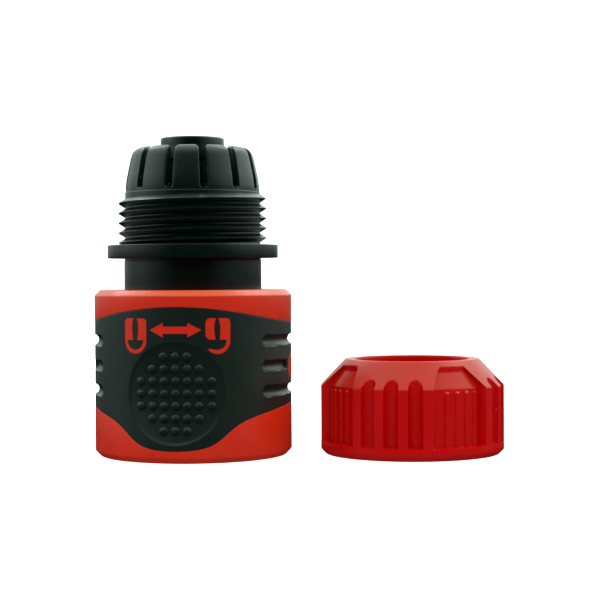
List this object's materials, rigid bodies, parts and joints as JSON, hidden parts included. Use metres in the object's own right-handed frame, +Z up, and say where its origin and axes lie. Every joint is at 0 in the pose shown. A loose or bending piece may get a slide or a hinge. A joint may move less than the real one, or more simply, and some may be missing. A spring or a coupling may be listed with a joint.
{
  "type": "hose quick connector",
  "caption": "Push-fit garden hose connector with a spring-loaded, twist-locking sleeve, a slotted hose collet and its unscrewed clamping nut.",
  "frame": {"origin": "centre of the bounding box in X and Y, on the surface that the connector and its nut stand on", "axes": "+Z up along the connector's axis from socket to hose end, +X from the connector towards the nut, -Y the side that the sleeve's thumb rest faces"},
  "size_m": [0.0832, 0.04, 0.0643],
  "materials": {
    "red_plastic": "satin",
    "black_plastic": "satin",
    "grip_rubber": "matt, fine grain",
    "acetal": "satin",
    "spring_steel": "bright wire",
    "seal_rubber": "matt"
  },
  "bodies": {
    "connector_core": {"core_tube": "black_plastic", "clamp_body": "black_plastic", "lock_ring": "acetal", "socket_seal": "seal_rubber"},
    "release": {"release_ring": "acetal", "return_spring": "spring_steel"},
    "sleeve": {"sleeve_shell": "red_plastic", "sleeve_grip": "grip_rubber"},
    "claw_front": {"locking_claw_1": "acetal"},
    "claw_right": {"locking_claw_2": "acetal"},
    "claw_back": {"locking_claw_3": "acetal"},
    "claw_left": {"locking_claw_4": "acetal"},
    "nut": {"clamp_nut": "red_plastic"}
  },
  "joints": [
    {"name": "sleeve_slide", "type": "slide", "parent": "connector_core", "child": "release", "axis": [0, 0, 1], "range_m": [0, 0.006], "stiffness_N_per_m": 1000, "springref_m": -0.006, "deforming": ["return_spring"]},
    {"name": "sleeve_turn", "type": "hinge", "parent": "release", "child": "sleeve", "pos_m": [-0.02163, 0, 0], "axis": [0, 0, -1], "range_deg": [0, 30]},
    {"name": "claw_front_slide", "type": "slide", "parent": "connector_core", "child": "claw_front", "axis": [0, -1, 0], "range_m": [0, 0.0012]},
    {"name": "claw_right_slide", "type": "slide", "parent": "connector_core", "child": "claw_right", "axis": [1, 0, 0], "range_m": [0, 0.0012]},
    {"name": "claw_back_slide", "type": "slide", "parent": "connector_core", "child": "claw_back", "axis": [0, 1, 0], "range_m": [0, 0.0012]},
    {"name": "claw_left_slide", "type": "slide", "parent": "connector_core", "child": "claw_left", "axis": [-1, 0, 0], "range_m": [0, 0.0012]},
    {"name": "nut_lift", "type": "slide", "parent": "connector_core", "child": "nut", "axis": [0, 0, 1], "range_m": [0, 0.08]}
  ],
  "couplings": [
    {"joint": "claw_front_slide", "follows": "sleeve_slide", "ratio": 0.2},
    {"joint": "claw_right_slide", "follows": "sleeve_slide", "ratio": 0.2},
    {"joint": "claw_back_slide", "follows": "sleeve_slide", "ratio": 0.2},
    {"joint": "claw_left_slide", "follows": "sleeve_slide", "ratio": 0.2}
  ]
}
